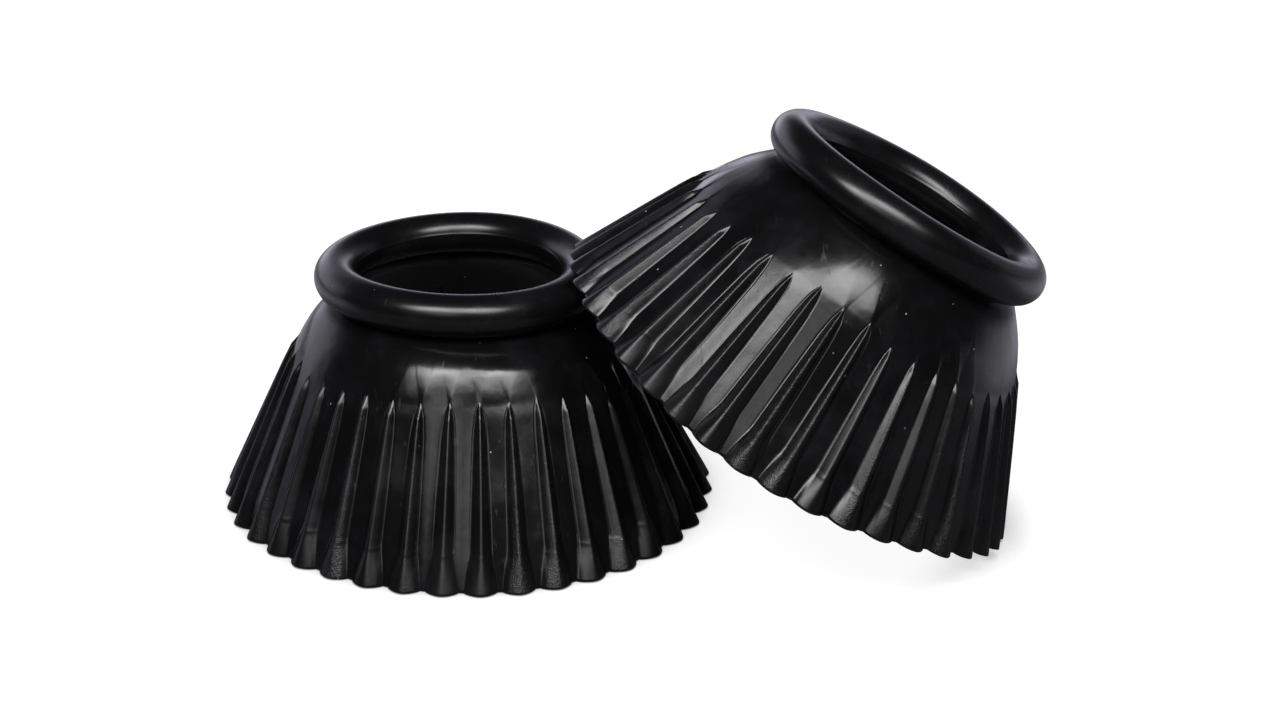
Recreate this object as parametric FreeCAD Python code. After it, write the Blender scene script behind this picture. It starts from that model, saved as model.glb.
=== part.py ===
"""A pair of ribbed rubber bell boots: one stands on its hem, the other leans on it.

Each boot is a bell-shaped wall with moulded ribs, and a round collar bead that
grips the wall's top edge. Millimetres, +Z up, origin on the ground under the
middle of the pair.
"""
import FreeCAD, Part
import math
import os

# Bell wall: outer surface between the ribs, as radius and height.
HEM_RADIUS = 100.8
FLARE_TOP_RADIUS = 94.0
FLARE_TOP_HEIGHT = 12.0
SKIRT_TOP_RADIUS = 74.0
SKIRT_TOP_HEIGHT = 58.0
NECK_RADIUS = 53.9
NECK_HEIGHT = 88.3
WALL = 3.2

# Collar bead, a full round ring with a groove in its underside.
COLLAR_RING_RADIUS = 53.4
COLLAR_TUBE_RADIUS = 8.9
COLLAR_HEIGHT = 97.0
TONGUE_TOP_HEIGHT = 93.0

# Ribs round the skirt.
RIB_COUNT = 40
RIB_ROOT_DEPTH = 1.2

# Rib cross-sections from the hem up to the spear tip. Each row is the height
# of the section, then half widths at the root, the flank and the crest, and
# then how far the root, the flank and the crest stand out from the wall.
RIB_SECTIONS = (
    (0.0, 5.6, 4.4, 2.2, 0.0, 2.9, 4.2),
    (12.4, 4.6, 2.7, 1.0, 0.0, 1.9, 3.4),
    (13.8, 4.4, 1.9, 0.6, 0.0, 1.5, 3.8),
    (36.0, 3.2, 1.4, 0.4, 0.0, 1.0, 3.0),
    (58.0, 1.5, 0.8, 0.3, 0.0, 0.8, 2.0),
    (64.5, 0.5, 0.35, 0.2, -0.9, -0.7, -0.5),
)

# How the pair lies: the second boot leans over the collar of the first.
STANDING_RIB_PHASE = 6.2
LEANING_RIB_PHASE = 3.9
LEAN_ANGLE = 32.3
LEAN_SHIFT_X = 135.7
LEAN_SHIFT_Y = -38.3

UP = FreeCAD.Vector(0, 0, 1)
ACROSS = FreeCAD.Vector(0, 1, 0)


def unit(angle_deg):
    """Direction in the X-Z plane, turned from straight up towards the axis."""
    angle = math.radians(angle_deg)
    return FreeCAD.Vector(-math.sin(angle), 0, math.cos(angle))


def section_point(radius, height):
    """Point of the half section, in the X-Z plane."""
    return FreeCAD.Vector(radius, 0, height)


def tangent_arc(start, direction, end):
    """Arc that leaves start along direction and passes through end."""
    chord = end - start
    normal = FreeCAD.Vector(direction.z, 0, -direction.x)
    radius = chord.dot(chord) / (2 * chord.dot(normal))
    centre = start + normal * radius
    middle = (start + end) * 0.5 - centre
    middle.normalize()
    return Part.Arc(start, centre + middle * abs(radius), end).toShape()


def line(start, end):
    """Straight edge between two points."""
    return Part.LineSegment(start, end).toShape()


def skirt_angle():
    """Slope of the straight skirt from the vertical, in degrees."""
    drop = SKIRT_TOP_HEIGHT - FLARE_TOP_HEIGHT
    return math.degrees(math.atan2(FLARE_TOP_RADIUS - SKIRT_TOP_RADIUS, drop))


def wall_points(inset):
    """Corners of the wall's surface, moved into the wall by inset."""
    step = inset / math.cos(math.radians(skirt_angle()))
    return (
        section_point(HEM_RADIUS - step, 0),
        section_point(FLARE_TOP_RADIUS - step, FLARE_TOP_HEIGHT),
        section_point(SKIRT_TOP_RADIUS - step, SKIRT_TOP_HEIGHT),
        section_point(NECK_RADIUS - inset, NECK_HEIGHT - inset / 2),
    )


def wall_edges(inset):
    """Flare, straight skirt and dome of one surface of the wall."""
    hem, flare_top, skirt_top, neck = wall_points(inset)
    up = unit(skirt_angle())
    return [
        tangent_arc(flare_top, up * -1, hem),
        line(flare_top, skirt_top),
        tangent_arc(skirt_top, up, neck),
    ]


def make_wall():
    """Bell wall without ribs, with the tongue that the collar grips."""
    outer, inner = wall_points(0), wall_points(WALL)
    tongue_outer = section_point(NECK_RADIUS, TONGUE_TOP_HEIGHT)
    tongue_inner = section_point(NECK_RADIUS - WALL, TONGUE_TOP_HEIGHT)
    edges = wall_edges(0) + wall_edges(WALL)
    edges.append(line(outer[0], inner[0]))
    edges.append(line(outer[3], tongue_outer))
    edges.append(line(tongue_outer, tongue_inner))
    edges.append(line(tongue_inner, inner[3]))
    outline = Part.Wire(Part.__sortEdges__(edges))
    face = Part.Face(outline)
    return face.revolve(FreeCAD.Vector(0, 0, 0), UP, 360)


def wall_radius(height):
    """Outer radius of the wall at a height, along straight runs between its corners."""
    points = wall_points(0)
    for low, high in zip(points, points[1:]):
        if height <= high.z:
            share = (height - low.z) / (high.z - low.z)
            return low.x + share * (high.x - low.x)
    return points[-1].x


def rib_wire(section):
    """Closed outline of a rib at one height, on the +X side."""
    height, root, flank, crest, root_out, flank_out, crest_out = section
    base = wall_radius(height)
    half = (
        (root_out - RIB_ROOT_DEPTH, root),
        (root_out, root),
        (flank_out, flank),
        (crest_out, crest),
    )
    outline = [FreeCAD.Vector(base + out, -side, height) for out, side in half]
    outline += [FreeCAD.Vector(base + out, side, height) for out, side in reversed(half)]
    return Part.makePolygon(outline + outline[:1])


def turned(shape, axis, angle):
    """Copy of a shape, turned about an axis through the boot's origin."""
    copy = shape.copy()
    copy.rotate(FreeCAD.Vector(0, 0, 0), axis, angle)
    return copy


def make_ribs():
    """All ribs of one boot, each a ruled solid from the hem to its spear tip."""
    rib = Part.makeLoft([rib_wire(section) for section in RIB_SECTIONS], True, True)
    pitch = 360.0 / RIB_COUNT
    return [turned(rib, UP, index * pitch) for index in range(RIB_COUNT)]


def make_boot():
    """Ribbed bell as one solid, and the round bead grooved to take its tongue."""
    wall = make_wall()
    bell = wall.multiFuse(make_ribs()).removeSplitter().Solids[0]
    middle = FreeCAD.Vector(0, 0, COLLAR_HEIGHT)
    bead = Part.makeTorus(COLLAR_RING_RADIUS, COLLAR_TUBE_RADIUS, middle)
    return bell, bead.cut(wall).Solids[0]


def lean(boot):
    """Tilt a boot towards +X, rest its hem on the ground and set it in its place."""
    shapes = [turned(piece, ACROSS, LEAN_ANGLE) for piece in boot]
    lowest = Part.makeCompound(shapes).optimalBoundingBox(False).ZMin
    for shape in shapes:
        shape.translate(FreeCAD.Vector(LEAN_SHIFT_X, LEAN_SHIFT_Y, -lowest))
    return shapes


def centre_pair(parts):
    """Move the pair so that the origin is on the ground under its middle."""
    box = Part.makeCompound(list(parts.values())).optimalBoundingBox(False)
    for shape in parts.values():
        shape.translate(FreeCAD.Vector(-box.Center.x, -box.Center.y, -box.ZMin))


def main():
    """Build both boots and write one STEP file for each piece."""
    boot = make_boot()
    standing = [turned(piece, UP, STANDING_RIB_PHASE) for piece in boot]
    leaning = lean([turned(piece, UP, LEANING_RIB_PHASE) for piece in boot])
    parts = dict(zip(("standing_bell", "standing_collar"), standing))
    parts.update(zip(("leaning_bell", "leaning_collar"), leaning))
    centre_pair(parts)
    os.makedirs("parts", exist_ok=True)
    for node, shape in parts.items():
        shape.exportStep(f"parts/{node}.step")
        print(node, "valid", shape.isValid(), "volume", round(shape.Volume))


main()
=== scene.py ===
"""Pair of ribbed rubber bell boots, one standing and one leaning over its collar.

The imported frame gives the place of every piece. Each boot is a ribbed bell and
a round collar bead, made here as detailed meshes in their procedural rubber.
"""

import logging
import math
import random
from dataclasses import dataclass, field
from enum import Enum
from functools import lru_cache

import bmesh
import bpy
from mathutils import Matrix, Vector, noise

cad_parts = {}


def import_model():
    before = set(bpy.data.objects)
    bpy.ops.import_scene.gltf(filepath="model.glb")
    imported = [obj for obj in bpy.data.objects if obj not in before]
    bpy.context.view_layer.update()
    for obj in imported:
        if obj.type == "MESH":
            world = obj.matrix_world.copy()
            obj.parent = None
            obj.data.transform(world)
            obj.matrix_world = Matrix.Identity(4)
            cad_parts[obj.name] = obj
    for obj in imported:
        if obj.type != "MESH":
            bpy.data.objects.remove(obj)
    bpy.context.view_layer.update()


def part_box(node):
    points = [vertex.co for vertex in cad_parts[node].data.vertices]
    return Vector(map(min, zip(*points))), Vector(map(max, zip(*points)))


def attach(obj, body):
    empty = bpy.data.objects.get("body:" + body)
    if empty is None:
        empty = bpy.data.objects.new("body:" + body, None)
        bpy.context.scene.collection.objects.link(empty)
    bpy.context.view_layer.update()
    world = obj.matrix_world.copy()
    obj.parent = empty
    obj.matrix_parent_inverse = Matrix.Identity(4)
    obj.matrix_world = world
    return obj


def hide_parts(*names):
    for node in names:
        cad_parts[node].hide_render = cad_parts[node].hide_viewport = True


LOG = logging.getLogger("bell_boots")
MM = 0.001
SocketOrValue = bpy.types.NodeSocket | float


def mix(low: float, high: float, share: float) -> float:
    """Value between low and high at a share from 0 to 1."""
    return low + (high - low) * share


def clamp(value: float, low: float = 0.0, high: float = 1.0) -> float:
    """Value held between two limits."""
    return max(low, min(high, value))


def smooth(share: float) -> float:
    """Eased share, flat at both ends."""
    held = clamp(share)
    return held * held * (3.0 - 2.0 * held)


def span_evenly(start: float, stop: float, steps: int) -> list[float]:
    """Evenly spaced values from start up to, but not including, stop."""
    return [mix(start, stop, index / steps) for index in range(steps)]


@dataclass(frozen=True)
class Bend:
    """Round stretch of the wall's half section, with its radius as a function of height."""

    centre_radius: float
    centre_height: float
    bend_radius: float
    bulges_out: bool

    @classmethod
    def leaving(cls, start: tuple[float, float], heading: tuple[float, float],
                end: tuple[float, float]) -> "Bend":
        """Bend that leaves a point along a heading and passes through an end point.

        Args:
            start: Radius and height where the bend begins.
            heading: Unit direction of the section at the start.
            end: Radius and height where the bend ends.

        Returns:
            The round stretch between the two points.
        """
        side = (heading[1], -heading[0])
        chord = (end[0] - start[0], end[1] - start[1])
        across = chord[0] * side[0] + chord[1] * side[1]
        reach = (chord[0] ** 2 + chord[1] ** 2) / (2.0 * across)
        centre = (start[0] + side[0] * reach, start[1] + side[1] * reach)
        return cls(centre[0], centre[1], abs(reach), centre[0] < start[0])

    def radius_at(self, height: float) -> float:
        """Radius of the surface at a height within the bend."""
        drop = height - self.centre_height
        half = math.sqrt(max(self.bend_radius ** 2 - drop ** 2, 0.0))
        return self.centre_radius + (half if self.bulges_out else -half)


@dataclass(frozen=True)
class WallShape:
    """Half section of the bell's wall between the ribs: flare, skirt, dome and tongue."""

    hem_radius: float = 98.8 * MM
    flare_top: tuple[float, float] = (94.0 * MM, 12.0 * MM)
    skirt_top: tuple[float, float] = (74.0 * MM, 58.0 * MM)
    neck: tuple[float, float] = (53.9 * MM, 88.3 * MM)
    thickness: float = 3.2 * MM
    tongue_top: float = 92.6 * MM
    hem_round: float = 0.45 * MM

    @property
    def slope(self) -> float:
        """Slope of the straight skirt from the vertical, in radians."""
        return math.atan2(self.flare_top[0] - self.skirt_top[0],
                          self.skirt_top[1] - self.flare_top[1])

    @lru_cache(maxsize=None)
    def outer_radius(self, height: float) -> float:
        """Radius of the land surface at a height.

        Args:
            height: Height above the hem, in metres.

        Returns:
            Radius from the boot's axis, in metres.
        """
        up = (-math.sin(self.slope), math.cos(self.slope))
        if height < self.flare_top[1]:
            flare = Bend.leaving(self.flare_top, (-up[0], -up[1]), (self.hem_radius, 0.0))
            return flare.radius_at(height)
        if height < self.skirt_top[1]:
            share = (height - self.flare_top[1]) / (self.skirt_top[1] - self.flare_top[1])
            return mix(self.flare_top[0], self.skirt_top[0], share)
        if height < self.neck[1]:
            return Bend.leaving(self.skirt_top, up, self.neck).radius_at(height)
        return self.neck[0]

    @lru_cache(maxsize=None)
    def inner_radius(self, height: float) -> float:
        """Radius of the inside surface at a height."""
        if height >= self.neck[1] - self.thickness / 2:
            return self.neck[0] - self.thickness
        drop = self.thickness / math.cos(self.slope)
        return max(self.outer_radius(height) - drop, self.neck[0] - self.thickness)


@dataclass(frozen=True)
class RibCast:
    """How one rib came out of the mould, as small changes from the plain rib."""

    tip_height: float
    gain: float
    knot_height: float
    sway: float
    coarse: float


@dataclass(frozen=True)
class RibKey:
    """Size of a rib at one share of its length, counted from the hem to the tip."""

    share: float
    root: float
    crest: float
    out: float


@dataclass(frozen=True)
class RibShape:
    """Moulded rib: a round-backed ridge with a groove each side, widest at the hem."""

    count: int = 40
    tip_height: float = 64.0 * MM
    knot_height: float = 13.2 * MM
    knot_out: float = 0.05 * MM
    knot_length: float = 0.7 * MM
    knot_widening: float = 0.15
    lobe_reach: float = 1.15
    groove: float = 0.5 * MM
    keys: tuple[RibKey, ...] = (
        RibKey(0.00, 6.6 * MM, 2.0 * MM, 4.3 * MM),
        RibKey(0.20, 4.8 * MM, 1.2 * MM, 3.6 * MM),
        RibKey(0.23, 4.6 * MM, 1.15 * MM, 3.6 * MM),
        RibKey(0.55, 3.9 * MM, 0.85 * MM, 3.0 * MM),
        RibKey(0.82, 3.0 * MM, 0.65 * MM, 2.4 * MM),
        RibKey(0.93, 2.1 * MM, 0.5 * MM, 1.9 * MM),
        RibKey(1.00, 0.5 * MM, 0.15 * MM, 0.0),
    )
    # Columns of the mesh from the crest's middle to the middle of the land.
    crest_shares: tuple[float, ...] = (0.0, 0.55, 1.0)
    flank_shares: tuple[float, ...] = (0.25, 0.52, 0.82, 1.0)
    land_steps: tuple[float, ...] = (0.3 * MM, 0.8 * MM)
    ridge_profile: tuple[float, ...] = (1.0, 0.94, 0.80, 0.58, 0.34, 0.10, 0.0, 0.0, 0.0, 0.0)
    groove_profile: tuple[float, ...] = (0.0, 0.0, 0.0, 0.1, 0.55, 1.0, 0.0, 0.0, 0.0, 0.0)
    lobe_profile: tuple[float, ...] = (1.0, 0.97, 0.90, 0.77, 0.58, 0.29, 0.0, 0.0, 0.0, 0.0)

    @property
    def half_columns(self) -> int:
        """Mesh columns from the middle of a rib to the middle of a land."""
        return len(self.ridge_profile) - 1

    @property
    def steps(self) -> int:
        """Mesh columns right round a boot."""
        return self.count * 2 * self.half_columns

    def sizes_at(self, share: float) -> tuple[float, float, float]:
        """Root half width, crest half width and height of a rib at a share of its length."""
        for low, high in zip(self.keys, self.keys[1:]):
            if share <= high.share:
                part = clamp((share - low.share) / (high.share - low.share))
                return (mix(low.root, high.root, part), mix(low.crest, high.crest, part),
                        mix(low.out, high.out, part))
        last = self.keys[-1]
        return last.root, last.crest, last.out

    def column(self, step: int, height: float, half_pitch: float,
               cast: RibCast) -> tuple[float, float]:
        """Place of one mesh column beside a rib.

        Args:
            step: Column counted from the rib's middle, 0 to half_columns.
            height: Height above the hem.
            half_pitch: Half the distance between ribs at that height.
            cast: The rib's own small differences.

        Returns:
            Distance along the wall from the rib's middle, and how far the surface
            stands out from the land there.
        """
        share = height / cast.tip_height
        root, crest, out = self.sizes_at(share)
        if share > 1.0:
            fan = smooth((share - 1.0) / 0.28)
            root = mix(root, half_pitch * 0.75, fan)
            crest = mix(crest, half_pitch * 0.25, fan)
        knot = math.exp(-((height - cast.knot_height) / self.knot_length) ** 2)
        out = (out * cast.gain + self.knot_out * knot) if share < 1.0 else 0.0
        crest *= 1.0 + self.knot_widening * knot
        lobe = 1.0 - smooth(height / (self.lobe_reach * self.knot_height))
        profile = mix(self.ridge_profile[step], self.lobe_profile[step], lobe)
        dip = self.groove * smooth((1.0 - share) / 0.06) * (1.0 - lobe)
        rise = profile * out - self.groove_profile[step] * dip
        crests, flanks = len(self.crest_shares), len(self.flank_shares)
        if step < crests:
            return crest * self.crest_shares[step], rise
        if step < crests + flanks:
            return mix(crest, root, self.flank_shares[step - crests]), rise
        if step < self.half_columns:
            outward = self.land_steps[step - crests - flanks]
            return min(root + outward, mix(root, half_pitch, outward / MM)), rise
        return half_pitch, rise


@dataclass(frozen=True)
class Settling:
    """How far soft rubber has moved from round at one height, as waves round the boot.

    Each wave is a mean, then a cosine and a sine part of each order, in millimetres.
    """

    height: float
    radial: tuple[float, ...]
    around: tuple[float, ...] = (0.0,)
    along: tuple[float, ...] = (0.0,)

    @staticmethod
    def wave(parts: tuple[float, ...], azimuth: float) -> float:
        """Value of one wave at an azimuth, in metres."""
        total = parts[0]
        for index, part in enumerate(parts[1:]):
            order = index // 2 + 1
            total += part * (math.sin if index % 2 else math.cos)(order * azimuth)
        return total * MM

    def at(self, azimuth: float) -> Vector:
        """Radial, sideways and lengthwise movement at an azimuth."""
        return Vector((self.wave(self.radial, azimuth), self.wave(self.around, azimuth),
                       self.wave(self.along, azimuth)))


@dataclass(frozen=True)
class Slump:
    """Settled shape of one boot, given at its hem, its shoulder and its neck."""

    hem: Settling
    shoulder: Settling
    neck: Settling
    dome_height: float = 74.0 * MM

    @lru_cache(maxsize=None)
    def levels_at(self, azimuth: float) -> tuple[Vector, Vector, Vector]:
        """Movement at the three heights, at one azimuth."""
        return self.hem.at(azimuth), self.shoulder.at(azimuth), self.neck.at(azimuth)

    def moved(self, point: Vector, azimuth: float, height: float) -> Vector:
        """Settled place of a point of the boot.

        Args:
            point: The point in the boot's own frame.
            azimuth: Azimuth at which the waves are read.
            height: Height above the hem at which the waves are read.

        Returns:
            The moved point.
        """
        hem, shoulder, neck = self.levels_at(azimuth)
        if height < self.shoulder.height:
            move = hem.lerp(shoulder, height / self.shoulder.height)
        else:
            rise = (height - self.dome_height) / (self.neck.height - self.dome_height)
            move = shoulder.lerp(neck, smooth(rise))
        radius = math.hypot(point.x, point.y)
        turn = math.atan2(point.y, point.x) + move.y / radius
        radius += move.x
        return Vector((radius * math.cos(turn), radius * math.sin(turn), point.z + move.z))


STANDING_SLUMP = Slump(
    hem=Settling(0.0, radial=(5.3, 1.6, -2.4, -2.09, -1.21, -0.98, -0.07),
                 around=(-0.36, -2.12, 0.5, -0.92, 2.35, 0.48, 1.06)),
    shoulder=Settling(63.5 * MM, radial=(0.91, 1.0, -2.52, -0.23, -1.19, -0.12, -0.99),
                      around=(0.41, 1.06, -1.23, -0.83, -0.64, -0.02, 0.08),
                      along=(0.95, -3.04, -0.94, -0.87, 0.51, -1.43, 0.65)),
    neck=Settling(90.0 * MM, radial=(-0.57, -1.25, -0.78, -0.36, -0.52),
                  along=(0.32, -0.8, -0.04, -0.47, 0.68)),
)
LEANING_SLUMP = Slump(
    hem=Settling(0.0, radial=(3.5, 0.88, 2.63, 1.72, -1.63, -0.04, 0.16),
                 around=(-0.55, 4.49, 0.09, 0.02, -0.08, 1.12, -0.27),
                 along=(-0.33, 1.78, 0.63, 1.51, 0.36, -1.71, -1.02)),
    shoulder=Settling(63.5 * MM, radial=(3.3, -2.8, 0.38, 0.9, -1.53, 0.38, 0.23),
                      around=(-2.45, 1.3, 0.2, -0.59, -0.13, 0.26, 0.24),
                      along=(-1.69, 0.34, 0.11, -1.62, 1.25, 1.35, 0.66)),
    neck=Settling(90.0 * MM, radial=(1.61, -3.11, 1.68, 0.93, 1.23),
                  along=(-0.05, 0.89, -2.08, -0.49, 0.83)),
)


@dataclass(frozen=True)
class Seat:
    """Where a boot's own upright frame lies in the shared frame."""

    origin: Vector
    lean: float

    @classmethod
    def under_collar(cls, node: str, ring_radius: float, tube_radius: float,
                     ring_height: float) -> "Seat":
        """Seat worked out from the box round a boot's collar.

        Args:
            node: The collar's node in the frame.
            ring_radius: Radius of the ring that the bead's middle follows.
            tube_radius: Radius of the bead itself.
            ring_height: Height of the ring above the boot's hem.

        Returns:
            The seat under that collar.
        """
        low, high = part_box(node)
        across = (high.x - low.x) / 2 - tube_radius
        upright = (high.z - low.z) / 2 - tube_radius
        lean = math.atan2(max(upright, 0.0), across)
        if upright < 0.02 * ring_radius:
            lean = 0.0
        axis = Vector((math.sin(lean), 0.0, math.cos(lean)))
        return cls((low + high) / 2 - axis * ring_height, lean)

    def matrix(self) -> Matrix:
        """Transform from the boot's own frame to the shared frame."""
        return Matrix.Translation(self.origin) @ Matrix.Rotation(self.lean, 4, "Y")


def make_object(name: str, mesh_data: bmesh.types.BMesh) -> bpy.types.Object:
    """Turn a finished bmesh into a smooth-shaded object in the scene.

    Args:
        name: Name of the piece.
        mesh_data: The finished bmesh, which is freed.

    Returns:
        The new object, at the origin.
    """
    mesh = bpy.data.meshes.new(name)
    mesh_data.to_mesh(mesh)
    mesh_data.free()
    mesh.shade_smooth()
    piece = bpy.data.objects.new(name, mesh)
    bpy.context.scene.collection.objects.link(piece)
    return piece


def spin_section(section: list[tuple[float, float]], steps: int,
                 sectors: int = 8) -> bmesh.types.BMesh:
    """Spin a closed half section right round the vertical axis.

    One sector is spun and then repeated, which is much quicker than one long spin.

    Args:
        section: Radius and height of each corner, in order round the section.
        steps: Number of columns round the axis, a multiple of the sectors.
        sectors: Number of equal sectors.

    Returns:
        A bmesh of the closed ring, with its faces pointing out.
    """
    ring = bmesh.new()
    corners = [ring.verts.new((radius, 0.0, height)) for radius, height in section]
    edges = [ring.edges.new(pair) for pair in zip(corners, corners[1:] + corners[:1])]
    bmesh.ops.spin(ring, geom=corners + edges, cent=(0, 0, 0), axis=(0, 0, 1),
                   angle=math.tau / sectors, steps=steps // sectors)
    sector = ring.verts[:] + ring.edges[:] + ring.faces[:]
    for index in range(1, sectors):
        copy = bmesh.ops.duplicate(ring, geom=sector)["geom"]
        bmesh.ops.rotate(ring, cent=(0, 0, 0),
                         matrix=Matrix.Rotation(index * math.tau / sectors, 3, "Z"),
                         verts=[part for part in copy if isinstance(part, bmesh.types.BMVert)])
    bmesh.ops.remove_doubles(ring, verts=ring.verts, dist=0.002 * MM)
    bmesh.ops.recalc_face_normals(ring, faces=ring.faces)
    return ring


@dataclass
class Bell:
    """Ribbed bell wall of one boot."""

    wall: WallShape = field(default_factory=WallShape)
    ribs: RibShape = field(default_factory=RibShape)
    phase: float = 0.0
    seed: int = 1
    slump: Slump | None = None
    # Painted shade mask: reflections are turned down above this height, under the collar bead, and
    # over the whole inside wall.
    painted_shade_height: float = 79.0 * MM
    painted_shade_rise: float = 7.0 * MM
    inside_painted_shade: float = 0.3

    def casts(self) -> list[RibCast]:
        """Small differences of every rib, the same on each run."""
        draw = random.Random(self.seed)
        return [
            RibCast(
                tip_height=self.ribs.tip_height + draw.gauss(0.0, 1.0) * MM,
                gain=draw.uniform(0.94, 1.06),
                knot_height=self.ribs.knot_height + draw.gauss(0.0, 0.6) * MM,
                sway=draw.gauss(0.0, 0.12) * MM,
                coarse=draw.random() ** 2,
            )
            for _ in range(self.ribs.count)
        ]

    def row_heights(self) -> list[float]:
        """Heights of the mesh rows up the outside, close together where detail needs them."""
        tip = self.ribs.tip_height
        knot = self.ribs.knot_height
        rows = [self.wall.hem_round, 1.2 * MM, 2.4 * MM]
        rows += span_evenly(4 * MM, knot - 2 * MM, 5)
        rows += span_evenly(knot - 2 * MM, knot + 2 * MM, 8)
        rows += span_evenly(knot + 2 * MM, tip - 12 * MM, 14)
        rows += span_evenly(tip - 12 * MM, tip + 4 * MM, 20)
        rows += span_evenly(tip + 4 * MM, self.wall.neck[1], 12)
        return rows

    def section(self) -> list[tuple[float, float]]:
        """Closed half section, down the outside, round the hem and up the inside."""
        wall = self.wall
        tongue = [(wall.neck[0], wall.tongue_top), (wall.neck[0], wall.neck[1])]
        outside = [(wall.outer_radius(height), height) for height in reversed(self.row_heights())]
        outer, inner = wall.outer_radius(0.0), wall.inner_radius(0.0)
        hem = [(outer - wall.hem_round, 0.0), ((outer + inner) / 2, 0.0),
               (inner + wall.hem_round, 0.0)]
        heights = span_evenly(wall.hem_round, wall.neck[1] - wall.thickness / 2, 26)
        inside = [(wall.inner_radius(height), height) for height in heights]
        bore = wall.neck[0] - wall.thickness
        top = [(bore, wall.neck[1] - wall.thickness / 2), (bore, wall.tongue_top)]
        return tongue + outside + hem + inside + top

    def mould_ribs(self, ring: bmesh.types.BMesh) -> None:
        """Move the plain ring's columns into place beside the ribs and raise the ribs.

        Args:
            ring: The plain bell, whose vertices are moved.
        """
        casts = self.casts()
        half = self.ribs.half_columns
        crest_layer = ring.verts.layers.float.new("crest")
        coarse_layer = ring.verts.layers.float.new("coarse")
        painted_shade_layer = ring.verts.layers.float.new("painted_shade")
        for vertex in ring.verts:
            radius = math.hypot(vertex.co.x, vertex.co.y)
            height = vertex.co.z
            turn = math.atan2(vertex.co.y, vertex.co.x) % math.tau
            column = round(turn / math.tau * self.ribs.steps) % self.ribs.steps
            azimuth = self.phase + column * math.tau / self.ribs.steps
            outer, inner = self.wall.outer_radius(height), self.wall.inner_radius(height)
            share = clamp((radius - inner) / (outer - inner))
            # Painted shade: a mask that darkens reflections high on the dome under the collar bead
            # and over the inside wall.
            vertex[painted_shade_layer] = smooth((height - self.painted_shade_height) / self.painted_shade_rise)
            if share == 0.0:
                vertex[painted_shade_layer] = self.inside_painted_shade
                vertex.co = self.settled(radius, azimuth, height, azimuth)
                continue
            rib = ((column + half) // (2 * half)) % self.ribs.count
            offset = (column + half) % (2 * half) - half
            cast = casts[rib]
            half_pitch = math.pi * radius / self.ribs.count
            along, out = self.ribs.column(abs(offset), height, half_pitch, cast)
            swayed = cast.sway * math.sin(math.pi * clamp(height / cast.tip_height))
            inward = 1.0 - abs(offset) / half
            shift = math.copysign(along, offset) + swayed * inward
            angle = self.phase + rib * math.tau / self.ribs.count + shift / radius
            radius += out * share + self.land_flattening(abs(offset), height, radius, cast) * share
            vertex.co = self.settled(radius, angle, height, azimuth)
            vertex[crest_layer] = clamp(out / (2.5 * MM)) * smooth((share - 0.5) * 2)
            vertex[coarse_layer] = cast.coarse

    def settled(self, radius: float, angle: float, height: float, azimuth: float) -> Vector:
        """Point of the wall after the boot has settled.

        Args:
            radius: Radius of the point before settling.
            angle: Angle of the point about the boot's axis.
            height: Height of the point above the hem.
            azimuth: Azimuth at which the settling is read.

        Returns:
            The point in the boot's own frame.
        """
        place = Vector((radius * math.cos(angle), radius * math.sin(angle), height))
        return self.slump.moved(place, azimuth, height) if self.slump else place

    def land_flattening(self, step: int, height: float, radius: float, cast: RibCast) -> float:
        """How far a land's surface moves in to lie on a flat face between two ribs.

        Args:
            step: Column counted from the rib's middle.
            height: Height above the hem.
            radius: Radius of the round wall there.
            cast: The rib's own small differences.

        Returns:
            Change of the radius, which is never above zero.
        """
        half_pitch = math.pi * radius / self.ribs.count
        root = self.ribs.sizes_at(height / cast.tip_height)[0]
        along = self.ribs.column(step, height, half_pitch, cast)[0]
        if along < root:
            return 0.0
        edge, here = (half_pitch - root) / radius, (half_pitch - along) / radius
        flat = radius * (math.cos(edge) / math.cos(here) - 1.0)
        return flat * smooth((1.05 - height / cast.tip_height) / 0.1)

    def build(self, name: str, seat: Seat) -> bpy.types.Object:
        """Make the bell in its place.

        Args:
            name: Name of the piece.
            seat: Where the boot lies.

        Returns:
            The bell's object.
        """
        ring = spin_section(self.section(), self.ribs.steps)
        self.mould_ribs(ring)
        bmesh.ops.transform(ring, matrix=seat.matrix(), verts=ring.verts)
        return make_object(name, ring)


@dataclass
class CollarBead:
    """Round bead that grips the top of a boot's wall."""

    ring_radius: float = 53.4 * MM
    tube_radius: float = 8.9 * MM
    ring_height: float = 97.0 * MM
    tube_steps: int = 120
    ring_steps: int = 288
    seam_angle: float = math.radians(168.0)
    seam_width: float = math.radians(3.2)
    seam_rise: float = 0.22 * MM
    unevenness: float = 0.1 * MM
    slump: Slump | None = None

    def section(self) -> list[tuple[float, float]]:
        """Closed round half section with a fine parting seam on its inner side."""
        corners = []
        for step in range(self.tube_steps):
            angle = math.tau * step / self.tube_steps
            gap = (angle - self.seam_angle) / self.seam_width
            reach = self.tube_radius + self.seam_rise * math.exp(-gap * gap)
            corners.append((self.ring_radius + reach * math.cos(angle),
                            self.ring_height + reach * math.sin(angle)))
        return corners

    def build(self, name: str, seat: Seat) -> bpy.types.Object:
        """Make the bead in its place.

        Args:
            name: Name of the piece.
            seat: Where the boot lies.

        Returns:
            The bead's object.
        """
        ring = spin_section(self.section(), self.ring_steps)
        for vertex in ring.verts:
            turn = math.atan2(vertex.co.y, vertex.co.x)
            core = Vector((math.cos(turn), math.sin(turn), 0.0)) * self.ring_radius
            core.z = self.ring_height
            wave = noise.noise(vertex.co * 28.0)
            vertex.co += (vertex.co - core).normalized() * wave * self.unevenness
            if self.slump:
                vertex.co = self.slump.moved(vertex.co, turn, self.slump.neck.height)
        bmesh.ops.transform(ring, matrix=seat.matrix(), verts=ring.verts)
        return make_object(name, ring)


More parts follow.
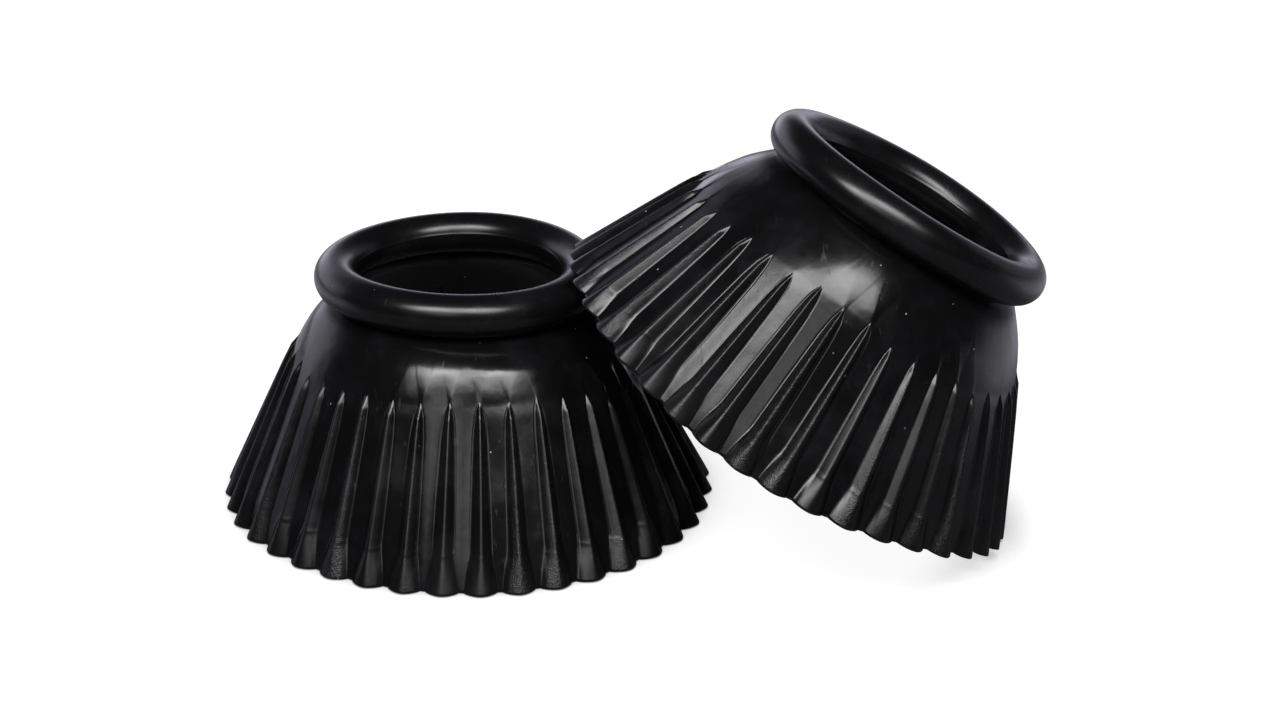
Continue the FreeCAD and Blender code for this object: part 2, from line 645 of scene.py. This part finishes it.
class NodeSheet:
    """Small helper that adds and joins nodes in one node tree."""

    def __init__(self, tree: bpy.types.NodeTree) -> None:
        """Start on an existing node tree."""
        self.tree = tree

    def add(self, kind: str, inputs: dict | None = None, **settings) -> bpy.types.Node:
        """Add a node, set its properties and fill or link its inputs.

        Args:
            kind: Blender's name for the node type.
            inputs: Value or output socket for each named or numbered input.
            settings: Properties of the node itself.

        Returns:
            The new node.
        """
        node = self.tree.nodes.new(kind)
        for key, value in settings.items():
            setattr(node, key, value)
        for key, value in (inputs or {}).items():
            if isinstance(value, bpy.types.NodeSocket):
                self.tree.links.new(value, node.inputs[key])
            else:
                node.inputs[key].default_value = value
        return node

    def maths(self, operation: str, first: SocketOrValue,
              second: SocketOrValue = 0.0) -> bpy.types.NodeSocket:
        """Output of a Math node."""
        return self.add("ShaderNodeMath", {0: first, 1: second}, operation=operation).outputs[0]

    def spread(self, value: SocketOrValue, low: float, high: float, to_low: float = 0.0,
               to_high: float = 1.0) -> bpy.types.NodeSocket:
        """Output of a clamped, eased Map Range node.

        Args:
            value: What is mapped.
            low: Value that gives to_low.
            high: Value that gives to_high.
            to_low: Result at the low end.
            to_high: Result at the high end.

        Returns:
            The result's socket.
        """
        node = self.add(
            "ShaderNodeMapRange",
            {"Value": value, "From Min": low, "From Max": high,
             "To Min": to_low, "To Max": to_high},
            interpolation_type="SMOOTHSTEP",
        )
        return node.outputs["Result"]


def new_group(name: str, inputs: dict[str, float], outputs: tuple[str, ...],
              has_vector: bool = True) -> tuple[NodeSheet, bpy.types.Node, bpy.types.Node]:
    """Start a shader node group with named sockets.

    Args:
        name: Name of the group.
        inputs: Value inputs with their defaults.
        outputs: Names of the value outputs.
        has_vector: Whether the group also takes a Vector.

    Returns:
        The group's sheet, its input node and its output node.
    """
    tree = bpy.data.node_groups.new(name, "ShaderNodeTree")
    if has_vector:
        tree.interface.new_socket("Vector", in_out="INPUT", socket_type="NodeSocketVector")
    for label, value in inputs.items():
        socket = tree.interface.new_socket(label, in_out="INPUT", socket_type="NodeSocketFloat")
        socket.default_value = value
    for label in outputs:
        tree.interface.new_socket(label, in_out="OUTPUT", socket_type="NodeSocketFloat")
    sheet = NodeSheet(tree)
    return sheet, sheet.add("NodeGroupInput"), sheet.add("NodeGroupOutput")


def grain_group() -> bpy.types.NodeTree:
    """Height of the moulded skin in millimetres: fine orange peel over slow ripples."""
    sheet, given, result = new_group("Moulded skin", {"Fine depth": 0.03, "Broad depth": 0.2},
                                     ("Height",))
    fine = sheet.add("ShaderNodeTexNoise", {
        "Vector": given.outputs["Vector"], "Scale": 750.0, "Detail": 3.0, "Roughness": 0.5})
    broad = sheet.add("ShaderNodeTexNoise", {
        "Vector": given.outputs["Vector"], "Scale": 46.0, "Detail": 3.0, "Roughness": 0.45})
    peel = sheet.maths("MULTIPLY", fine.outputs[0], given.outputs["Fine depth"])
    ripple = sheet.maths("MULTIPLY", broad.outputs[0], given.outputs["Broad depth"])
    sheet.tree.links.new(sheet.maths("ADD", peel, ripple), result.inputs["Height"])
    return sheet.tree


def dust_group() -> bpy.types.NodeTree:
    """Mask of scattered pale dust specks of different sizes."""
    sheet, given, result = new_group("Dust specks", {"Spacing": 210.0, "Size": 0.1}, ("Mask",))
    cells = sheet.add("ShaderNodeTexVoronoi", {
        "Vector": given.outputs["Vector"], "Scale": given.outputs["Spacing"]})
    patches = sheet.add("ShaderNodeTexNoise", {
        "Vector": given.outputs["Vector"], "Scale": 24.0, "Detail": 2.0})
    chance = sheet.add("ShaderNodeSeparateColor", {"Color": cells.outputs["Color"]})
    chosen = sheet.maths("GREATER_THAN", chance.outputs[0], 0.86)
    near = sheet.maths("LESS_THAN", cells.outputs["Distance"], given.outputs["Size"])
    dusty = sheet.spread(patches.outputs[0], 0.46, 0.62)
    mask = sheet.maths("MULTIPLY", sheet.maths("MULTIPLY", chosen, near), dusty)
    sheet.tree.links.new(mask, result.inputs["Mask"])
    return sheet.tree


def scuff_group() -> bpy.types.NodeTree:
    """Mask of faint rubbed patches and fine scratches."""
    sheet, given, result = new_group("Rubbed skin", {"Patch": 34.0, "Scratch": 420.0},
                                     ("Patches", "Scratches"))
    patch = sheet.add("ShaderNodeTexNoise", {
        "Vector": given.outputs["Vector"], "Scale": given.outputs["Patch"], "Detail": 5.0,
        "Roughness": 0.62})
    drawn = sheet.add("ShaderNodeMapping", {
        "Vector": given.outputs["Vector"], "Rotation": (0.3, 0.5, 0.7), "Scale": (1.0, 0.06, 0.4)})
    scratch = sheet.add("ShaderNodeTexNoise", {
        "Vector": drawn.outputs[0], "Scale": given.outputs["Scratch"], "Detail": 2.0})
    sheet.tree.links.new(sheet.spread(patch.outputs[0], 0.42, 0.68), result.inputs["Patches"])
    sheet.tree.links.new(sheet.spread(scratch.outputs[0], 0.66, 0.74), result.inputs["Scratches"])
    return sheet.tree


class Skin(Enum):
    """Node groups that the finishes share."""

    GRAIN = "grain"
    DUST = "dust"
    SCUFF = "scuff"


class SkinLibrary:
    """Builds each shared node group once and places it in materials."""

    makers = {Skin.GRAIN: grain_group, Skin.DUST: dust_group, Skin.SCUFF: scuff_group}

    def __init__(self) -> None:
        """Build every group."""
        self.trees = {kind: maker() for kind, maker in self.makers.items()}

    def place(self, sheet: NodeSheet, kind: Skin, inputs: dict) -> bpy.types.Node:
        """Place a shared group in a material, with its own input values."""
        return sheet.add("ShaderNodeGroup", inputs, node_tree=self.trees[kind])


@dataclass(frozen=True)
class RubberFinish:
    """Satin black moulded rubber with faint wear and dust, and with painted shade that turns
    reflections down where a vertex mask asks for it.
    """

    name: str
    colour: tuple[float, float, float] = (0.0038, 0.0038, 0.0042)
    bloom: tuple[float, float, float] = (0.0075, 0.0075, 0.0085)
    dust: tuple[float, float, float] = (0.5, 0.49, 0.47)
    roughness: float = 0.17
    rubbed: float = 0.07
    fine_depth: float = 0.012
    broad_depth: float = 0.36
    crest_grit: float = 0.0
    crest_wear: float = 0.14
    dust_size: float = 0.075
    dust_roughness: float = 0.4
    scratch_roughness: float = 0.12
    # Specular level of open skin and of skin under the painted shade mask.
    unshaded_specular: float = 0.5
    painted_shade_specular: float = 0.03

    def build(self, skins: SkinLibrary) -> bpy.types.Material:
        """Make the material.

        Args:
            skins: The shared node groups.

        Returns:
            The finished material.
        """
        material = bpy.data.materials.new(self.name)
        material.use_nodes = True
        material.diffuse_color = (*self.colour, 1.0)
        sheet = NodeSheet(material.node_tree)
        shader = material.node_tree.nodes["Principled BSDF"]
        place = sheet.add("ShaderNodeTexCoord").outputs["Object"]
        grain = skins.place(sheet, Skin.GRAIN, {
            "Vector": place, "Fine depth": self.fine_depth, "Broad depth": self.broad_depth})
        dust = skins.place(sheet, Skin.DUST, {"Vector": place, "Size": self.dust_size})
        scuff = skins.place(sheet, Skin.SCUFF, {"Vector": place})
        # Painted shade: the vertex mask turns reflections down under the collar bead and inside the
        # bell.
        if self.crest_grit:
            painted_shade = sheet.add("ShaderNodeAttribute", attribute_name="painted_shade").outputs["Fac"]
            specular_under_painted_shade = sheet.spread(painted_shade, 0.0, 1.0, self.unshaded_specular, self.painted_shade_specular)
            sheet.tree.links.new(specular_under_painted_shade, shader.inputs["Specular IOR Level"])
        self.colour_in(sheet, shader, dust, scuff)
        height = self.height_out(sheet, place, grain)
        bump = sheet.add("ShaderNodeBump", {"Height": height, "Distance": MM, "Strength": 1.0})
        sheet.tree.links.new(bump.outputs[0], shader.inputs["Normal"])
        return material

    def colour_in(self, sheet: NodeSheet, shader: bpy.types.Node, dust: bpy.types.Node,
                  scuff: bpy.types.Node) -> None:
        """Feed the shader's colour and roughness from the wear and dust masks.

        Args:
            sheet: The material's nodes.
            shader: The Principled node.
            dust: The placed dust group.
            scuff: The placed wear group.
        """
        worn = sheet.add("ShaderNodeMix", {
            0: scuff.outputs["Patches"], 6: (*self.colour, 1.0), 7: (*self.bloom, 1.0)},
            data_type="RGBA")
        dusted = sheet.add("ShaderNodeMix", {
            0: dust.outputs["Mask"], 6: worn.outputs[2], 7: (*self.dust, 1.0)}, data_type="RGBA")
        sheet.tree.links.new(dusted.outputs[2], shader.inputs["Base Color"])
        rubbed = sheet.spread(scuff.outputs["Patches"], 0.0, 1.0, self.roughness,
                              self.roughness + self.rubbed)
        scratched = sheet.maths("ADD", rubbed, sheet.maths(
            "MULTIPLY", scuff.outputs["Scratches"], self.scratch_roughness))
        rough = sheet.maths("ADD", scratched, sheet.maths(
            "MULTIPLY", dust.outputs["Mask"], self.dust_roughness))
        if self.crest_grit:
            crest = sheet.add("ShaderNodeAttribute", attribute_name="crest").outputs["Fac"]
            rough = sheet.maths("ADD", rough, sheet.maths("MULTIPLY", crest, self.crest_wear))
        sheet.tree.links.new(rough, shader.inputs["Roughness"])

    def height_out(self, sheet: NodeSheet, place: bpy.types.NodeSocket,
                   grain: bpy.types.Node) -> bpy.types.NodeSocket:
        """Height of the skin, with the coarse cast along some rib backs.

        Args:
            sheet: The material's nodes.
            place: Object coordinates.
            grain: The placed skin group.

        Returns:
            The socket that carries the height.
        """
        if not self.crest_grit:
            return grain.outputs["Height"]
        crest = sheet.add("ShaderNodeAttribute", attribute_name="crest").outputs["Fac"]
        coarse = sheet.add("ShaderNodeAttribute", attribute_name="coarse").outputs["Fac"]
        grit = sheet.add("ShaderNodeTexNoise", {"Vector": place, "Scale": 1500.0, "Detail": 2.0})
        lumps = sheet.spread(grit.outputs[0], 0.4, 0.66, 0.0, self.crest_grit)
        where = sheet.maths("MULTIPLY", sheet.spread(crest, 0.55, 0.95), coarse)
        raised = sheet.maths("MULTIPLY", lumps, where)
        return sheet.maths("ADD", grain.outputs["Height"], raised)


@dataclass
class Boot:
    """One bell boot: its ribbed bell and its collar bead."""

    stance: str
    phase: float
    seed: int
    slump: Slump
    collar: CollarBead = field(default_factory=CollarBead)

    @property
    def body(self) -> str:
        """Name of the frame's body that this boot's pieces ride on."""
        return f"{self.stance}_boot"

    def seat(self) -> Seat:
        """Where the boot lies, from its collar's box."""
        return Seat.under_collar(f"{self.stance}_collar", self.collar.ring_radius,
                                 self.collar.tube_radius, self.collar.ring_height)

    def build(self, bell_rubber: bpy.types.Material,
              collar_rubber: bpy.types.Material) -> list[bpy.types.Object]:
        """Make both pieces, dress them and put them on their body.

        Args:
            bell_rubber: Finish of the bell.
            collar_rubber: Finish of the collar bead.

        Returns:
            The two finished pieces.
        """
        seat = self.seat()
        self.collar.slump = self.slump
        bell = Bell(phase=self.phase, seed=self.seed, slump=self.slump).build(
            f"{self.stance}_ribbed_bell", seat)
        bead = self.collar.build(f"{self.stance}_collar_bead", seat)
        self.dress(bell, bell_rubber, f"{self.stance}_bell")
        self.dress(bead, collar_rubber, f"{self.stance}_collar")
        return [bell, bead]

    def dress(self, piece: bpy.types.Object, material: bpy.types.Material,
              node: str) -> None:
        """Give a piece its finish and its place on the frame.

        Args:
            piece: The piece.
            material: Its finish.
            node: The frame's node that the piece stands for.
        """
        piece.data.materials.append(material)
        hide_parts(node)
        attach(piece, self.body)
        LOG.info("%s stands for %s, %d faces", piece.name, node, len(piece.data.polygons))


@dataclass(frozen=True)
class SoftLight:
    """One rectangular studio light, dimmer at one long side and faded at its edges."""

    name: str
    place: tuple[float, float, float]
    target: tuple[float, float, float]
    size: tuple[float, float]
    power: float
    fade: float = 0.16
    dim_side: float = 0.5
    cloud_scale: float = 5.0
    cloud_dim: float = 0.5

    def build(self) -> bpy.types.Object:
        """Make the light, pointing at its target."""
        data = bpy.data.lights.new(self.name, "AREA")
        data.shape = "RECTANGLE"
        data.size, data.size_y = self.size
        data.energy = self.power
        self.shade(data)
        light = bpy.data.objects.new(self.name, data)
        light.location = self.place
        aim = Vector(self.target) - Vector(self.place)
        light.rotation_euler = aim.to_track_quat("-Z", "Y").to_euler()
        bpy.context.scene.collection.objects.link(light)
        return light

    def shade(self, data: bpy.types.AreaLight) -> None:
        """Give the light's face soft edges and a cloudy, uneven glow.

        Args:
            data: The light's data.
        """
        data.use_nodes = True
        sheet = NodeSheet(data.node_tree)
        face = sheet.add("ShaderNodeNewGeometry").outputs["Parametric"]
        axes = sheet.add("ShaderNodeSeparateXYZ", {0: face})
        cloud = sheet.add("ShaderNodeTexNoise", {
            "Vector": face, "Scale": self.cloud_scale, "Detail": 2.0})
        cloudy = sheet.spread(cloud.outputs[0], 0.35, 0.65, self.cloud_dim, 1.0)
        glow = sheet.maths("MULTIPLY", cloudy, sheet.spread(
            axes.outputs["Y"], 0.2, 0.6, self.dim_side, 1.0))
        for axis in ("X", "Y"):
            rising = sheet.spread(axes.outputs[axis], 0.0, self.fade)
            falling = sheet.spread(axes.outputs[axis], 1.0 - self.fade, 1.0, 1.0, 0.0)
            glow = sheet.maths("MULTIPLY", glow, sheet.maths("MULTIPLY", rising, falling))
        emission = data.node_tree.nodes["Emission"]
        sheet.tree.links.new(glow, emission.inputs["Strength"])


@dataclass
class Studio:
    """Pale floor, soft light and the camera."""

    camera_place: tuple[float, float, float] = (0.00717, -0.9855, 0.4553)
    camera_target: tuple[float, float, float] = (0.00717, 0.01911, 0.0573)
    lens: float = 70.56
    floor_size: float = 8.0
    floor_drop: float = 0.2 * MM
    # Reach of the painted contact shadow on the floor.
    painted_shadow_reach: float = 30.0 * MM
    backdrop_seen: float = 1.1
    lights: tuple[SoftLight, ...] = (
        SoftLight("key_softbox", (-0.03, -0.87, 1.07), (-0.03, 0.0, 0.07), (1.85, 0.58), 50.0),
        SoftLight("front_card", (-0.35, -1.45, 0.85), (-0.05, 0.0, 0.06), (0.7, 0.4), 2.2),
    )

    def build(self) -> None:
        """Make everything that isn't part of the object."""
        self.build_floor()
        for light in self.lights:
            light.build()
        self.build_surroundings()
        self.build_camera()

    def build_floor(self) -> None:
        """Large pale floor at the height of the boots' hems."""
        sheet = bmesh.new()
        bmesh.ops.create_grid(sheet, x_segments=1, y_segments=1, size=self.floor_size / 2)
        bmesh.ops.translate(sheet, vec=(0.0, 0.0, -self.floor_drop), verts=sheet.verts)
        floor = make_object("studio_floor", sheet)
        floor.data.materials.append(self.floor_paint())

    def floor_paint(self) -> bpy.types.Material:
        """Pale matt floor, shown nearly white, with a painted contact shadow near the boots and a
        painted darker tone where it is seen in reflections.
        """
        material = bpy.data.materials.new("pale_floor")
        material.use_nodes = True
        shader = material.node_tree.nodes["Principled BSDF"]
        shader.inputs["Roughness"].default_value = 0.9
        shader.inputs["Specular IOR Level"].default_value = 0.0
        shader.inputs["Emission Color"].default_value = (1.0, 1.0, 1.0, 1.0)
        sheet = NodeSheet(material.node_tree)
        path = sheet.add("ShaderNodeLightPath")
        place = sheet.add("ShaderNodeTexCoord").outputs["Object"]
        reach = sheet.add("ShaderNodeVectorMath", {0: place}, operation="LENGTH").outputs["Value"]
        depth = sheet.add("ShaderNodeSeparateXYZ", {0: place}).outputs["Y"]
        # Painted reflection: in glossy rays the floor is dark near the boots and in front, and pale
        # lilac far behind.
        far = sheet.maths("MULTIPLY", sheet.spread(reach, 0.22, 0.4),
                          sheet.spread(depth, -0.1, 0.1))
        painted_reflection_tone = sheet.add("ShaderNodeMix", {
            0: far, 6: (0.12, 0.12, 0.13, 1.0), 7: (0.9, 0.88, 1.0, 1.0)}, data_type="RGBA")
        pale = sheet.add("ShaderNodeMix", {
            0: path.outputs["Is Glossy Ray"], 6: (0.3, 0.3, 0.3, 1.0), 7: painted_reflection_tone.outputs[2]},
            data_type="RGBA")
        sheet.tree.links.new(pale.outputs[2], shader.inputs["Base Color"])
        # The floor glows for camera rays, and ambient occlusion dims that glow near the boots as a
        # painted contact shadow.
        nearby = sheet.add("ShaderNodeAmbientOcclusion", {"Distance": self.painted_shadow_reach},
                           samples=8)
        painted_contact_shadow = sheet.spread(nearby.outputs["AO"], 0.2, 1.0, 0.2, 0.95)
        glow = sheet.maths("MULTIPLY", painted_contact_shadow, path.outputs["Is Camera Ray"])
        sheet.tree.links.new(glow, shader.inputs["Emission Strength"])
        return material

    def build_surroundings(self) -> None:
        """Backdrop, seen as white, that reflects as walls at the sides and a low bright horizon."""
        world = bpy.data.worlds.new("studio")
        world.use_nodes = True
        bpy.context.scene.world = world
        sheet = NodeSheet(world.node_tree)
        direction = sheet.add("ShaderNodeTexCoord").outputs["Generated"]
        axes = sheet.add("ShaderNodeSeparateXYZ", {0: direction})
        side = sheet.spread(axes.outputs["Y"], 0.12, 0.45)
        across = sheet.maths("ABSOLUTE", axes.outputs["X"])
        outward = sheet.spread(across, 0.05, 0.5, 0.35, 1.0)
        left = sheet.spread(axes.outputs["X"], -0.3, 0.3, 1.0, 0.42)
        low = sheet.spread(axes.outputs["Z"], 0.3, 0.62, 1.0, 0.1)
        walls = sheet.maths("MULTIPLY", sheet.maths("MULTIPLY", side, outward), left)
        horizon = sheet.maths("MULTIPLY", sheet.spread(axes.outputs["Y"], 0.85, 0.97),
                              sheet.spread(axes.outputs["Z"], 0.02, 0.3, 1.0, 0.0))
        lit = sheet.maths("ADD", sheet.maths("MULTIPLY", walls, low), horizon)
        room = sheet.spread(lit, 0.0, 2.0, 0.02, 2.0)
        path = sheet.add("ShaderNodeLightPath")
        seen = sheet.add("ShaderNodeMix", {
            0: path.outputs["Is Camera Ray"], 2: room, 3: self.backdrop_seen}, data_type="FLOAT")
        tint = sheet.add("ShaderNodeMix", {
            0: path.outputs["Is Camera Ray"], 6: (0.87, 0.85, 1.0, 1.0), 7: (1.0, 1.0, 1.0, 1.0)},
            data_type="RGBA")
        background = world.node_tree.nodes["Background"]
        sheet.tree.links.new(tint.outputs[2], background.inputs["Color"])
        sheet.tree.links.new(seen.outputs[0], background.inputs["Strength"])

    def build_camera(self) -> None:
        """Camera at the front, looking slightly down."""
        data = bpy.data.cameras.new("studio_camera")
        data.lens = self.lens
        data.sensor_width = 36.0
        data.clip_start = 0.01
        camera = bpy.data.objects.new("studio_camera", data)
        camera.location = self.camera_place
        aim = Vector(self.camera_target) - Vector(self.camera_place)
        camera.rotation_euler = aim.to_track_quat("-Z", "Y").to_euler()
        bpy.context.scene.collection.objects.link(camera)
        bpy.context.scene.camera = camera


def main() -> None:
    """Load the frame, build both boots round it and set up the studio."""
    logging.basicConfig(level=logging.INFO, format="%(name)s: %(message)s")
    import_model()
    skins = SkinLibrary()
    bell_rubber = RubberFinish("bell_rubber", crest_grit=0.1).build(skins)
    collar_rubber = RubberFinish("collar_rubber", roughness=0.24, rubbed=0.05, fine_depth=0.005,
                                 broad_depth=0.08, dust_size=0.06).build(skins)
    boots = (
        Boot("standing", math.radians(6.2), seed=7, slump=STANDING_SLUMP),
        Boot("leaning", math.radians(3.9), seed=19, slump=LEANING_SLUMP),
    )
    for boot in boots:
        boot.build(bell_rubber, collar_rubber)
    Studio().build()
    bpy.context.scene.view_settings.view_transform = "Standard"


if __name__ == "__main__":
    main()
